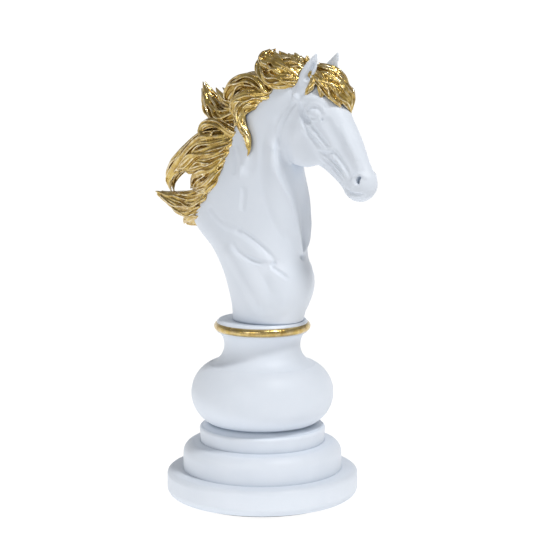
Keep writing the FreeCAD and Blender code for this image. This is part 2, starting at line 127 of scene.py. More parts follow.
# ------------------------------------------------------------------ curves and skins
def curve_through(rows, count):
    """Rows spread along a smooth curve that passes through the given rows."""
    rows = np.array(rows, float)
    ends = np.vstack([2 * rows[0] - rows[1], rows, 2 * rows[-1] - rows[-2]])
    place = np.linspace(0, len(rows) - 1, count)
    gap = np.minimum(place.astype(int), len(rows) - 2)
    f = (place - gap)[:, None]
    a, b, c, d = (ends[gap + k] for k in range(4))
    lower = 2 * b + (c - a) * f + (2 * a - 5 * b + 4 * c - d) * f ** 2
    return 0.5 * (lower + (3 * b - a - 3 * c + d) * f ** 3)


def unit(rows):
    return rows / np.maximum(np.linalg.norm(rows, axis=-1, keepdims=True), 1e-9)


def skin(rings):
    """Vertices and faces of a closed skin over rings of points, with a fan at both ends."""
    count, around, _ = rings.shape
    points = np.vstack([rings.reshape(-1, 3), rings[0].mean(0), rings[-1].mean(0)])
    first, last = count * around, count * around + 1
    faces = []
    for j in range(around):
        k = (j + 1) % around
        faces.append((first, k, j))
        faces.append((last, (count - 1) * around + j, (count - 1) * around + k))
        faces += [(i * around + j, i * around + k, (i + 1) * around + k, (i + 1) * around + j)
                  for i in range(count - 1)]
    return points, faces


def section_angles(around):
    return np.linspace(0, 2 * math.pi, around, endpoint=False)


def oval(angles, boxy):
    """Cosine and sine pulled towards a rounded box: 1 is an ellipse, less is boxier."""
    c, s = np.cos(angles), np.sin(angles)
    return np.sign(c) * np.abs(c) ** boxy, np.sign(s) * np.abs(s) ** boxy


def loft(centres, alongs, acrosses, half_along, half_across, around=64, boxy=1.0, flare=0.0):
    """A skin over sections whose flare makes the along side wider than the other."""
    c, s = oval(section_angles(around), boxy)
    flare = np.broadcast_to(flare, half_along.shape)
    width = s[None, :] * half_across[:, None] * (1 + flare[:, None] * c[None, :])
    rings = (centres[:, None, :] + alongs[:, None, :] * (c[None, :] * half_along[:, None])[..., None]
             + acrosses[:, None, :] * width[..., None])
    return skin(rings)


def swept(path, around=12, up=(0, 1, 0), boxy=1.0):
    """A tapering skin along rows of (x, y, z, half height, half thickness), the thickness along `up`."""
    centres = path[:, :3]
    tangents = unit(np.gradient(centres, axis=0))
    across = unit(np.array(up) - tangents * (tangents @ np.array(up))[:, None])
    return loft(centres, np.cross(across, tangents), across, path[:, 3], path[:, 4], around, boxy)


def mesh_object(name, skins):
    """One object from several skins given in millimetres."""
    points, faces, base = [], [], 0
    for skin_points, skin_faces in skins:
        points.append(skin_points * MM)
        faces += [tuple(base + i for i in face) for face in skin_faces]
        base += len(skin_points)
    mesh = bpy.data.meshes.new(name)
    mesh.from_pydata(np.vstack(points).tolist(), [], faces)
    mesh.update()
    made = bpy.data.objects.new(name, mesh)
    bpy.context.scene.collection.objects.link(made)
    return made


def fused(made, voxel):
    """Melts the overlapping skins of an object into one even closed skin."""
    melt = made.modifiers.new("melt", "REMESH")
    melt.mode = "VOXEL"
    melt.voxel_size = voxel * MM
    graph = bpy.context.evaluated_depsgraph_get()
    mesh = bpy.data.meshes.new_from_object(made.evaluated_get(graph))
    made.modifiers.clear()
    made.data = mesh
    mesh.name = made.name
    return made


# ------------------------------------------------------------------ modelling clay
# How far a stroke pushes, from 1 at its middle to 0 at its edge.
PROFILES = {
    "soft": lambda q: (1 - q * q) ** 2,
    "crease": lambda q: (1 - q) ** 2,
}


class Clay:
    """A dense closed skin that strokes push in and out, in millimetres."""

    def __init__(self, made):
        self.made = made
        mesh = made.data
        self.points = np.empty(len(mesh.vertices) * 3)
        mesh.vertices.foreach_get("co", self.points)
        self.points = self.points.reshape(-1, 3) / MM
        self.edges = np.empty(len(mesh.edges) * 2, int)
        mesh.edges.foreach_get("vertices", self.edges)
        self.edges = self.edges.reshape(-1, 2)
        self.degree = np.bincount(self.edges.ravel(), minlength=len(self.points))[:, None]
        self.settle()

    def relax(self, rounds, amount=0.5, where=None):
        """Averages each point with its neighbours, all over or by the weight `where` of each point."""
        one, two = self.edges.T
        weight = amount if where is None else amount * where[:, None]
        for _ in range(rounds):
            total = np.zeros_like(self.points)
            for axis in range(3):
                total[:, axis] = np.bincount(one, self.points[two, axis], len(self.points))
                total[:, axis] += np.bincount(two, self.points[one, axis], len(self.points))
            self.points += weight * (total / self.degree - self.points)
        self.settle()

    def settle(self):
        """Writes the points to the mesh and takes fresh normals and a fresh search tree."""
        mesh = self.made.data
        mesh.vertices.foreach_set("co", (self.points * MM).ravel())
        mesh.update()
        self.normals = np.empty(len(self.points) * 3)
        mesh.vertex_normals.foreach_get("vector", self.normals)
        self.normals = self.normals.reshape(-1, 3)
        self.tree = BVHTree.FromPolygons(self.points.tolist(), [p.vertices[:] for p in mesh.polygons])

    def hit(self, start, way):
        """The first surface point met from a start along a way, or the nearest one if it misses."""
        found = self.tree.ray_cast(start, way)[0]
        return np.array(found if found is not None else self.tree.find_nearest(start)[0])

    def stroke(self, path, width, height, profile="soft", facing=None):
        """Pushes the surface out, or in for a negative height, along a path of surface points.

        The width is one number or one per point. Slim strokes fade in and out along their length,
        wide ones end in a round cap.
        """
        rows = np.column_stack([path, np.broadcast_to(width, len(path))])
        rows = curve_through(rows, 8 * len(rows)) if len(rows) > 1 else np.vstack([rows, rows])
        path, width = rows[:, :3], rows[:, 3]
        reach = width.max()
        inside = (self.points > path.min(0) - reach) & (self.points < path.max(0) + reach)
        near = np.where(np.all(inside, 1))[0]
        start, run = path[:-1], np.diff(path, axis=0)
        away = self.points[near][:, None, :] - start
        t = np.clip((away * run).sum(2) / np.maximum((run ** 2).sum(1), 1e-9), 0, 1)
        gap = np.linalg.norm(away - run * t[..., None], axis=2)
        best = gap.argmin(1)
        rank = np.arange(len(near))
        place = best + t[rank, best]
        q = np.clip(gap[rank, best] / np.interp(place, np.arange(len(width)), width), 0, 1)
        push = height * PROFILES[profile](q)
        if reach < 3 and len(run) > 1:
            push = push * np.sqrt(np.clip(np.minimum(place, len(run) - place) / len(run) * 4, 0, 1))
        if facing is not None:
            push = push * np.clip(self.normals[near] @ np.array(facing) * 2 + 0.6, 0, 1)
        self.points[near] += self.normals[near] * push[:, None]


# ------------------------------------------------------------------ bust
def neck_skin():
    rows = curve_through(NECK, 90)
    lean = np.radians(rows[:, 5])
    alongs = np.stack([np.cos(lean), 0 * lean, -np.sin(lean)], 1)
    acrosses = np.tile([0.0, 1.0, 0.0], (len(rows), 1))
    return loft(rows[:, :3], alongs, acrosses, rows[:, 3], rows[:, 4], boxy=0.94)


def head_skin():
    rows = curve_through(HEAD, 90)
    centres = np.array([head_point(along, above, 0) for along, above in rows[:, :2]])
    alongs, acrosses = (np.tile(v, (len(rows), 1)) for v in (BROW, RIGHT))
    return loft(centres, alongs, acrosses, rows[:, 2], rows[:, 3], boxy=0.88, flare=rows[:, 4])


def jowl_skin(side):
    rows = [(*head_point(along, above, side * out), tall, thick) for along, above, out, tall, thick in JOWL]
    return swept(curve_through(rows, 40), around=48, up=RIGHT * side)


def ear_skin(side):
    rows = [(*head_point(along, above, side * out), wide, thick) for along, above, out, wide, thick in EAR]
    return swept(curve_through(rows, 24), around=24, up=RIGHT * side)


def bowed(start, end, bow, count=9):
    """Points on a round arc from start to end, whose middle stands `bow` to the left of the straight line."""
    start, end = np.array(start, float), np.array(end, float)
    half = (end - start) / 2
    left = np.array([-half[1], half[0]])
    u = np.linspace(-1, 1, count)[:, None]
    if bow == 0:
        return (start + end) / 2 + half * u
    sweep = 2 * math.atan(bow / math.hypot(*half))
    along = np.sin(sweep * u) / math.sin(sweep)
    aside = (np.cos(sweep * u) - math.cos(sweep)) / math.sin(sweep)
    return (start + end) / 2 + half * along + left * aside


def fan(first, last, bow, rows):
    """Creases side by side between two places along the face; a row is both heights, width and push."""
    return [((first, one), (last, two), bow, width, push, "soft") for one, two, width, push in rows]


# Strokes on the side of the head: start and end (along, above), bow, width, height, profile.
HEAD_STROKES = [
    ((6, -11), (7, -10.5), 0, 3.2, 1.8, "soft"),           # jaw joint knob
    ((10.5, -8), (23, -7), -3, 2.9, -1.7, "soft"),         # eye socket
    ((10, -4.5), (17, 4), 1, 4.2, 1.2, "soft"),            # brow
    ((19.5, -4), (20.5, -2.5), 0, 4.4, 1.2, "soft"),       # eyeball
    ((15, -7), (23.5, 2), 4, 2.0, 1.0, "crease"),          # upper lid
    ((17, -7), (23, 0), 2.5, 1.5, -1.4, "crease"),         # under that lid
    ((18.5, -7.5), (24.5, 0.5), -2.5, 1.6, 0.8, "crease"),  # lower lid
    ((19.5, -6), (23.5, -2.5), -1, 1.2, -0.8, "crease"),   # over that lid
    ((24.5, -1), (25.5, -0.5), 0, 1.4, -1.4, "soft"),      # inner corner
    ((25, -8), (40.5, -5), 0, 1.8, -0.8, "soft"),          # hollow over the facial crest
    ((38.5, -12), (43.5, -3), -1.5, 1.4, -0.8, "soft"),    # crease across the cheek
    ((37.5, -10.5), (42, -2.5), -1, 1.8, 0.6, "soft"),     # fold behind that crease
    ((28, 1), (57, 2), 0, 4.4, -0.8, "soft"),              # hollow beside the nose
    ((32, 6.5), (54, 6), 0, 2.6, 0.6, "soft"),             # edge of the nose bone
    ((64, -6.5), (71.5, 2), -2, 1.4, -1.4, "crease"),      # mouth
    ((64, -8.5), (70.5, -5.5), -1, 2.2, 0.8, "soft"),      # lower lip
    ((66.5, -0.5), (65.5, 6.5), 5, 1.9, 1.0, "soft"),      # nostril rim
    ((66, 2), (62.5, 5), 1, 1.6, -4.5, "crease"),          # nostril
]
# The facial crest and the cheek beside it, then the muscles that run on to the muzzle.
HEAD_STROKES += fan(20, 39, -0.5, [(-13, -11.5, 2.2, 0.9), (-12, -10, 1.4, -0.6), (-10, -7.5, 1.8, 0.8)])
HEAD_STROKES += fan(42, 60.5, 1, [(-15.5, -9, 1.3, -0.5), (-14, -8, 1.6, 0.7), (-12.5, -6, 1.3, -0.5),
                                  (-11, -5, 1.5, 0.7), (-9.5, -4, 1.3, -0.6), (-7, -3, 1.7, 0.8),
                                  (-4, -2, 1.8, -0.8)])
# Strokes on the side of the neck and chest: start and end (forward, up), bow, width, height, profile.
NECK_STROKES = [
    ((32, 232), (19, 191), -5.5, 2.0, -0.9, "soft"),       # fold behind the jaw
    ((29, 222), (23, 199), -1.5, 6.5, -1.2, "soft"),       # rear of the cheek
    ((18, 216), (25, 160), -5.5, 7.0, 0.9, "soft"),        # neck muscle before the throat
    ((-25, 168), (-3, 157), -2, 3.2, -0.5, "soft"),        # shoulder groove, rear half
    ((-3, 157), (20, 141), 1.5, 3.2, -0.5, "soft"),        # shoulder groove, front half
    ((-1, 157), (20, 141), 1.5, 2.0, -0.9, "crease"),      # its sharp bottom
    ((20, 141), (18, 138), 0, 1.8, -1.1, "soft"),          # where it steps down
    ((18, 138), (27, 131), 0.5, 1.8, -1.1, "soft"),        # and runs on to the breast
    ((-7, 150), (18, 140), -3, 2.4, -1.1, "soft"),         # lower shoulder groove
    ((-6, 154), (15, 142), 0.5, 4.6, 0.4, "soft"),         # muscle between the two grooves
    ((-6, 144), (14, 118), 1, 9.0, 1.6, "soft"),           # upper arm
    ((22, 133), (22, 115), 2, 8.0, 1.2, "soft"),           # breast
    ((-1.5, 182), (-2, 168), 0.5, 2.9, -0.6, "soft"),      # hollow in the middle of the neck
    ((-12, 206), (-9, 188), 2, 2.2, -0.7, "soft"),         # fold under the mane
    ((-8, 204), (-5, 186), 2, 2.0, 0.5, "soft"),           # ridge before that fold
    ((-3, 216), (1, 192), 2, 6.0, -0.8, "soft"),           # long hollow of the neck
]
# The edge where each side of the neck turns into the throat: forward, outward, up, width.
THROAT_EDGE = [(18, 13, 204, 8), (20, 13, 190, 8), (28, 10, 172, 8), (31, 6.5, 152, 6), (31.5, 4, 145, 3)]
# The flat front of the throat between the two edges: up, half width.
THROAT = [(196, 12), (172, 8.5), (143, 3.2)]


def carve_sides(clay, strokes, place, outward):
    for side in (1, -1):
        for start, end, bow, width, height, profile in strokes:
            points = [clay.hit(*place(a, b, side)) for a, b in bowed(start, end, bow).tolist()]
            clay.stroke(points, width, height, profile, facing=outward * side)


def beside_head(along, above, side):
    return head_point(along, above, side * 40), RIGHT * -side


def beside_neck(forward, up, side):
    return Vector((forward, -side * 60, up)), Vector((0, side, 0))


def carve_ears(clay):
    for side in (1, -1):
        cup = [head_point(along, above, side * out) for along, above, out, _, _ in EAR[1:3]]
        start, end = cup[0] - (cup[1] - cup[0]) * 0.45, cup[1] + (cup[1] - cup[0]) * 0.45
        way = (RIGHT * side * 0.75 + HEADING * 0.66).normalized()
        points = [clay.hit(p + way * 8, -way) for p in (start, cup[0], cup[1], end)]
        clay.stroke(points, 2.6, -2.4, facing=way)


def carve_throat(clay):
    for side in (1, -1):
        out = Vector((0.7, -0.7 * side, 0))
        rows = curve_through(THROAT_EDGE, 9).tolist()
        line = [clay.hit(Vector((x, -y * side, z)) + out * 20, -out) for x, y, z, _ in rows]
        clay.stroke(line, [width for *_, width in rows], 2.2, "crease", facing=out)
    forward = Vector((1, 0, 0))
    rows = curve_through(THROAT, 6).tolist()
    line = [clay.hit(Vector((34.5, 0, up)), -forward) for up, _ in rows]
    clay.stroke(line, [width for _, width in rows], -2.0, facing=forward)


def make_bust():
    bust = mesh_object("bust_sculpt", [neck_skin(), head_skin(), jowl_skin(1), jowl_skin(-1),
                                      ear_skin(1), ear_skin(-1)])
    clay = Clay(fused(bust, BUST_VOXEL))
    ears = np.clip((clay.points[:, 2] - 243.0) / 3.0, 0, 1)
    clay.relax(12, where=1 - 0.85 * ears)
    carve_throat(clay)
    clay.settle()
    carve_sides(clay, NECK_STROKES, beside_neck, Vector((0, -1, 0)))
    carve_sides(clay, HEAD_STROKES, beside_head, RIGHT)
    carve_ears(clay)
    clay.relax(1)
    bust.data.polygons.foreach_set("use_smooth", [True] * len(bust.data.polygons))
    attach(bust, BODY)
    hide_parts("bust", "right_ear", "left_ear")
    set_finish(bust, "white_resin")
    return bust


# ------------------------------------------------------------------ hair
# Each lock: (x, y, z, half height, half thickness) from root to tip. Locks off the middle are mirrored.
HAIR = {
    "mane_poll_lock": [
        [(29, -5, 243, 4, 4), (20, -6, 247, 5, 4.5), (11, -5.5, 250, 5, 4), (5, -4.5, 252.5, 3.6, 3.2),
         (5, -3.5, 256, 2.2, 2.2), (7.4, -2.5, 258.6, 0.6, 0.6)],
        [(31, -6, 240.5, 3.2, 3), (22, -8.5, 241, 4.2, 3.2), (13, -8.5, 241.6, 4.4, 3.4),
         (5.5, -7, 245, 3.6, 3), (2.5, -4.5, 250, 2.6, 2.6), (4, -3, 255, 1, 1)],
        [(30.5, -4, 247, 3.2, 3.2), (22, -4.5, 251, 3.6, 3.4), (14, -4, 253, 2.8, 2.8),
         (10, -2.5, 257.6, 0.5, 0.5)],
        [(28, -3.5, 248.5, 2.4, 2.4), (28.3, -3.5, 252, 1.6, 1.6), (28.8, -3, 255.4, 0.4, 0.4)],
        [(24, -3.5, 250.5, 2, 2), (22.5, -3.5, 253.5, 1.5, 1.5), (20, -3, 256.6, 0.4, 0.4)],
        [(24, 0, 245, 7, 8), (14, 0, 247, 7, 9), (6, 0, 249.5, 5, 6), (5.6, 0, 255, 2.6, 2.6),
         (7.4, 0, 258, 1, 1)],
    ],
    "mane_upper_lock": [
        [(11.1, -8, 234.7, 3.2, 3), (6, -8.5, 238.6, 4.2, 3.5), (-3.5, -8, 240.4, 4.8, 4),
         (-12.2, -7, 237.6, 4.8, 4), (-18, -6, 231.8, 3.8, 3.5), (-20.5, -5, 225.2, 1.2, 1.2)],
        [(10.7, -9, 231.8, 2.6, 2.5), (2.1, -11, 233, 3.6, 3), (-5.7, -11.2, 231.2, 4, 3.4),
         (-10.9, -10.5, 226.2, 3.5, 3), (-14, -9.5, 219.2, 1, 1)],
        [(4, -9.5, 227.5, 2, 2), (-2, -11.5, 226, 2.8, 2.4), (-7.5, -11.5, 221.5, 2.8, 2.4),
         (-11.5, -11, 215, 0.8, 0.8)],
        [(8, 0, 238, 5, 5), (-4, 0, 240.5, 5, 5.5), (-14, 0, 237.6, 5, 5.5), (-21.5, 0, 232, 3.6, 4),
         (-26.5, 0, 225.5, 1, 1)],
    ],
    "mane_wing_lock": [
        [(-13, -8, 221.5, 4, 4), (-23.5, -7, 220, 4.8, 4), (-31, -4.5, 224, 4.4, 3.6),
         (-37, -2.5, 231, 2.8, 2.6), (-41.2, -1, 239.3, 0.4, 0.4)],
        [(-13, -7, 215.5, 4, 4), (-24, -5, 216.8, 4.6, 4), (-33, -3, 221.2, 4, 3.6),
         (-38.8, -1.5, 227, 2.4, 2.4), (-42.6, -0.5, 235.4, 0.4, 0.4)],
        [(-11, -7, 226, 3.4, 3), (-18.1, -6, 228, 3.2, 2.8), (-25, -4.5, 231.0, 2, 2),
         (-30.3, -3, 236.1, 0.4, 0.4)],
        [(-16, 0, 219, 5, 6), (-27, 0, 221, 5, 5), (-35, 0, 226, 2.5, 2.5), (-39, 0, 231, 0.8, 0.8)],
    ],
    "mane_lower_lock": [
        [(-14.5, -8.5, 209.6, 3.6, 3), (-26.5, -10, 207.4, 4.5, 3.8), (-36.5, -8.5, 205.2, 4.2, 4),
         (-46.5, -6, 199, 4, 4), (-54.6, -4.5, 192.4, 3.6, 3.6), (-62.2, -3, 186.2, 2.6, 2.8),
         (-66, -2, 180, 1.7, 2), (-64.8, -1.2, 173.6, 0.5, 0.5)],
        [(-15, -10, 205.1, 3, 3), (-27.7, -11, 200.4, 4.2, 3.4), (-39.3, -9, 196.7, 4.4, 3.6),
         (-48.8, -7, 191.4, 3.4, 3.2), (-54.6, -5, 188.6, 2, 2), (-59.5, -3.5, 185, 0.5, 0.5)],
        [(-17, -11.5, 200, 3, 2.6), (-28, -11.5, 195, 3.6, 3), (-37.9, -9.5, 191.6, 3.2, 2.8),
         (-45.4, -7.5, 188, 2, 1.8), (-50, -5.5, 186.5, 0.5, 0.5)],
        [(-12.5, -9.5, 211.5, 3, 2.6), (-23, -10, 216.2, 3, 2.6), (-32.6, -8.5, 215.4, 2.8, 2.4),
         (-36.6, -8.5, 211.4, 2.2, 2.2), (-33.4, -10.5, 208, 1.8, 1.8), (-27.5, -12.4, 209.4, 1.3, 1.3),
         (-25.5, -12.8, 211.6, 0.5, 0.5)],
        [(-18, 0, 209, 6, 7), (-32, 0, 210, 5.2, 7), (-43, 0, 205, 4.4, 6), (-52.5, 0, 198, 4, 5.5),
         (-60.8, 0, 191.4, 3.4, 4.4), (-66.4, 0, 184.6, 2.2, 3), (-67, 0, 178, 0.8, 0.8)],
        [(-20, 0, 201, 5, 7), (-34, 0, 201, 5, 7), (-46, 0, 195.5, 4, 5), (-53, 0, 190.5, 2, 3),
         (-57.5, 0, 187, 0.7, 0.7)],
    ],
    "mane_curl_lock": [
        [(-19, -12, 195.6, 3, 2.6), (-27, -12, 190.2, 3.6, 3.2), (-36, -9.5, 187.4, 3.4, 3.2),
         (-43, -6.5, 183, 2.4, 2.4), (-48, -4.5, 177.2, 0.6, 0.6)],
        [(-20.5, -12.4, 190.2, 3, 2.6), (-27, -12.5, 184.4, 3.6, 3), (-35.5, -10, 181.2, 3, 2.8),
         (-42.5, -7, 178.6, 1.8, 1.8), (-47.4, -5, 180.8, 0.6, 0.6)],
        [(-23, -12.2, 184, 3, 2.6), (-30, -11.8, 177.8, 3.2, 2.8), (-38.5, -9, 175.4, 2.6, 2.4),
         (-45.5, -6.5, 174.8, 0.6, 0.6)],
        [(-24, 0, 186, 6, 9), (-35, 0, 184, 5.5, 8), (-44, 0, 180, 3, 4), (-48, 0, 176.5, 1, 1)],
    ],
    "mane_tail_lock": [
        [(-28, -11.5, 178, 3.2, 3), (-40.8, -8, 173.6, 3.6, 3.4), (-54.6, -4.5, 171.6, 3, 3),
         (-65.5, -2, 171.8, 1.9, 2), (-77.5, -0.5, 173.4, 0.5, 0.5)],
        [(-31.5, -11.6, 172.5, 3.2, 3), (-42.5, -8.5, 168, 3.6, 3.2), (-54.5, -5, 166.4, 3.2, 2.8),
         (-66, -3, 169.0, 1.9, 1.9), (-76, -1, 171.8, 0.5, 0.5)],
        [(-36, -10.4, 167, 3, 2.8), (-45, -7.5, 164, 3.4, 3), (-56, -4.5, 163.6, 2.6, 2.4),
         (-66, -2.5, 167.2, 0.6, 0.6)],
        [(-34, 0, 170, 7, 9), (-48, 0, 168, 5, 6), (-60, 0, 168.6, 3, 3.4), (-70, 0, 171, 1, 1)],
    ],
    "mane_tip_lock": [
        [(-34, -10.5, 163.5, 3, 3), (-43.5, -7, 161.6, 3.2, 3), (-50.5, -4, 159.6, 2.6, 2.4),
         (-55.2, -2, 155.8, 0.5, 0.5)],
        [(-37, -7, 160, 2.4, 2.4), (-44, -5, 158.6, 2.4, 2.4), (-50, -3, 157.2, 1.6, 1.6),
         (-53.4, -1.5, 155.4, 0.4, 0.4)],
        [(-36, 0, 163, 4, 5), (-47, 0, 160.6, 3.4, 3.4), (-54, 0, 157.4, 0.8, 0.8)],
    ],
}
# The lock that hangs on the right side of the neck only.
SIDE_LOCK = [(4.5, -9.5, 230.6, 2.6, 2.2), (-3.8, -12, 226.8, 3.2, 2.6), (-6.4, -13, 221.4, 3.0, 2.4),
             (-3.8, -13.6, 215.2, 2.4, 2.0), (0.2, -14.6, 209.6, 1.9, 1.7), (1.7, -15.2, 204, 1.2, 1.2),
             (0.6, -15, 198.8, 0.35, 0.35)]
# Forelock in the head frame: along, above, right, half height, half thickness.
FORELOCK = [
    [(-4, 0.5, 0, 4, 6), (3, 6.8, 0, 4.6, 8), (11, 10.2, -1, 4.2, 8), (19, 10.6, -2.5, 3.2, 6),
     (26.8, 8.2, -4.5, 0.5, 0.6)],
    [(-3, 0, 5, 3, 3.5), (2.5, 5, 6.5, 3, 3.6), (10, 7.6, 6.5, 3, 3.6), (17.5, 8.4, 4.5, 2.4, 2.8),
     (24, 7.5, 1.5, 0.5, 0.6)],
    [(2.5, 5, 7, 2.4, 2.4), (4.5, 2.5, 9, 2.2, 2.2), (7, -0.8, 10.8, 1.6, 1.6),
     (9.4, -4.6, 11.6, 0.4, 0.4)],
    [(2, 4.6, 7.5, 2, 2), (7.5, 5.6, 8.2, 1.8, 1.8), (12, 4.6, 8.8, 1.4, 1.4),
     (15.4, 2.8, 8.7, 0.4, 0.4)],
]


# How far a root runs on and rises, and what share of its distance from the middle is left there.
ROOT_LONG, ROOT_RISE, ROOT_SINK = 2.0, 3.0, 0.6
# Strands in a lock and in the slimmer side lock, and steps along a lock for each of its rows.
LOCK_STRANDS, SIDE_STRANDS, STEPS_PER_ROW = 14, 11, 9
# Locks whose root lies further right than this are carried on into the neck.
ROOTED_BEYOND = -7


def wandering(t, size):
    """A smooth random wave along a strand."""
    return size * (np.sin(RANDOM.uniform(6, 11) * t + RANDOM.uniform(0, 6.3))
                   + 0.6 * np.sin(RANDOM.uniform(14, 22) * t + RANDOM.uniform(0, 6.3)))


def strand_bundle(lock, strands, up=(0, 1, 0)):
    """A slim core with strands round it, every fifth one thin and loose; each wanders in its own way."""
    lock = np.array(lock, float)
    steps = STEPS_PER_ROW * len(lock)
    guide = curve_through(lock, steps)
    guide[:, 3:] = np.maximum(guide[:, 3:], 0.15)
    tangents = unit(np.gradient(guide[:, :3], axis=0))
    across = unit(np.array(up) - tangents * (tangents @ np.array(up))[:, None])
    high = np.cross(across, tangents)
    core = guide.copy()
    core[:, 3:] *= 0.72
    skins = [swept(core, 20, up)]
    t = np.linspace(0, 1, steps)
    twist = RANDOM.uniform(-2.0, 2.0)
    for k in range(strands):
        angle = 2 * math.pi * (k + RANDOM.uniform(-0.4, 0.4)) / strands + twist * t + wandering(t, 0.26)
        loose = k % 5 == 0
        reach = (RANDOM.uniform(1.0, 1.16) if loose else RANDOM.uniform(0.66, 1.0)) + wandering(t, 0.06)
        centre = (guide[:, :3] + high * (np.cos(angle) * guide[:, 3] * reach)[:, None]
                  + across * (np.sin(angle) * guide[:, 4] * reach)[:, None])
        girth = 0.22 + np.sqrt(guide[:, 3] * guide[:, 4]) * RANDOM.uniform(1.4, 3.0) / strands
        girth = girth * (0.65 if loose else 1.0) * np.clip(t * 7 + 0.25, 0, 1)
        girth = girth * np.clip((1.05 - t) * 5, 0.25, 1)
        last = steps - RANDOM.integers(0, max(2, steps // 5))
        row = np.column_stack([centre, girth, girth * 1.15])[:last]
        row[0, 3:] = row[-1, 3:] = 0.15
        skins.append(swept(row, 8, up))
    return skins


def mirrored(lock):
    return [(x, -y, z, high, thick) for x, y, z, high, thick in lock]


def rooted(lock):
    """The lock with its root carried on a little and sunk into the neck."""
    (x, y, z, high, thick), (x2, _, z2, _, _) = lock[:2]
    step = ROOT_LONG / math.hypot(x - x2, z - z2)
    root = (x + (x - x2) * step, y * ROOT_SINK, z + (z - z2) * step + ROOT_RISE, high, thick)
    return [root, *lock]


def finish_hair(name, skins, node):
    hair = fused(mesh_object(name, skins), HAIR_VOXEL)
    hair.data.polygons.foreach_set("use_smooth", [True] * len(hair.data.polygons))
    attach(hair, BODY)
    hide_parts(node)
    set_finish(hair, "gold_leaf_paint")
    return hair


def make_hair():
    made = []
    for node, locks in HAIR.items():
        skins = []
        for lock in locks:
            for copy in ([lock, mirrored(lock)] if lock[0][1] else [lock]):
                skins += strand_bundle(rooted(copy) if lock[0][1] < ROOTED_BEYOND else copy, LOCK_STRANDS)
        made.append(finish_hair(node + "_hair", skins, node))
    made.append(finish_hair("mane_side_lock_hair", strand_bundle(SIDE_LOCK, SIDE_STRANDS), "mane_side_lock"))
    fringe = []
    for lock in FORELOCK:
        rows = [(*head_point(along, above, right), high, thick) for along, above, right, high, thick in lock]
        fringe += strand_bundle(rows, LOCK_STRANDS, up=RIGHT)
    made.append(finish_hair("forelock_hair", fringe, "forelock"))
    return made


# ------------------------------------------------------------------ materials
class Paint:
    """A small helper that lays out the nodes of one material."""

    def __init__(self, name, roughness=0.5, metallic=0.0):
        self.material = bpy.data.materials.new(name)
        self.material.use_nodes = True
        self.nodes = self.material.node_tree.nodes
        self.links = self.material.node_tree.links
        self.shader = self.nodes["Principled BSDF"]
        self.shader.inputs["Roughness"].default_value = roughness
        self.shader.inputs["Metallic"].default_value = metallic
        self.place = self.nodes.new("ShaderNodeTexCoord").outputs["Object"]

    def noise(self, scale, detail=4.0, rough=0.55):
        made = self.nodes.new("ShaderNodeTexNoise")
        made.inputs["Scale"].default_value = scale
        made.inputs["Detail"].default_value = detail
        made.inputs["Roughness"].default_value = rough
        self.links.new(self.place, made.inputs["Vector"])
        return made.outputs["Fac"]

    def ramp(self, source, stops):
        made = self.nodes.new("ShaderNodeValToRGB")
        bar = made.color_ramp
        for index, (place, colour) in enumerate(stops):
            stop = bar.elements[index] if index < 2 else bar.elements.new(place)
            stop.position = place
            stop.color = (*colour, 1) if len(colour) == 3 else colour
        self.links.new(source, made.inputs["Fac"])
        return made.outputs["Color"]

    def mix(self, factor, one, two, kind="MIX"):
        made = self.nodes.new("ShaderNodeMix")
        made.data_type = "RGBA"
        made.blend_type = kind
        for socket, source in ((made.inputs[0], factor), (made.inputs[6], one), (made.inputs[7], two)):
            if isinstance(source, (int, float)):
                socket.default_value = source
            elif isinstance(source, tuple):
                socket.default_value = (*source, 1)
            else:
                self.links.new(source, socket)
        return made.outputs[2]

    def scaled(self, source, low, high):
        made = self.nodes.new("ShaderNodeMapRange")
        made.inputs["To Min"].default_value = low
        made.inputs["To Max"].default_value = high
        self.links.new(source, made.inputs["Value"])
        return made.outputs["Result"]

    def recess(self, distance):
        """Nearly 0 deep in a groove, 1 in the open."""
        made = self.nodes.new("ShaderNodeAmbientOcclusion")
        made.samples = 8
        made.inputs["Distance"].default_value = distance
        return made.outputs["AO"]

    def pointed(self):
        return self.nodes.new("ShaderNodeNewGeometry").outputs["Pointiness"]

    def bump(self, source, distance, strength=1.0):
        made = self.nodes.new("ShaderNodeBump")
        made.inputs["Distance"].default_value = distance
        made.inputs["Strength"].default_value = strength
        self.links.new(source, made.inputs["Height"])
        self.links.new(made.outputs["Normal"], self.shader.inputs["Normal"])

    def into(self, source, socket):
        self.links.new(source, self.shader.inputs[socket])


def white_resin():
    """Matt sprayed paint over cast resin: faint mottling, fine pimples, painted cool shade in creases and
    seams, and a wider painted shade in hollows and under overhangs.
    """
    paint = Paint("white_resin", roughness=0.48)
    cloud = paint.ramp(paint.noise(55), [(0.3, (0.765, 0.82, 0.90)), (0.7, (0.80, 0.85, 0.925))])
    # Painted shade: deep darkens the colour in creases and seams, and wide darkens it more broadly in hollows
    # such as the throat under the head.
    deep = paint.ramp(paint.recess(0.0028), [(0.15, (0.52, 0.56, 0.61)), (0.70, (1, 1, 1))])
    wide = paint.ramp(paint.recess(0.05), [(0.20, (0.76, 0.79, 0.82)), (0.75, (1, 1, 1))])
    shade = paint.mix(1.0, deep, wide, "MULTIPLY")
    paint.into(paint.mix(1.0, cloud, shade, "MULTIPLY"), "Base Color")
    paint.into(paint.scaled(paint.noise(240), 0.40, 0.58), "Roughness")
    paint.bump(paint.noise(1400, 3), 0.00004)
    return paint.material


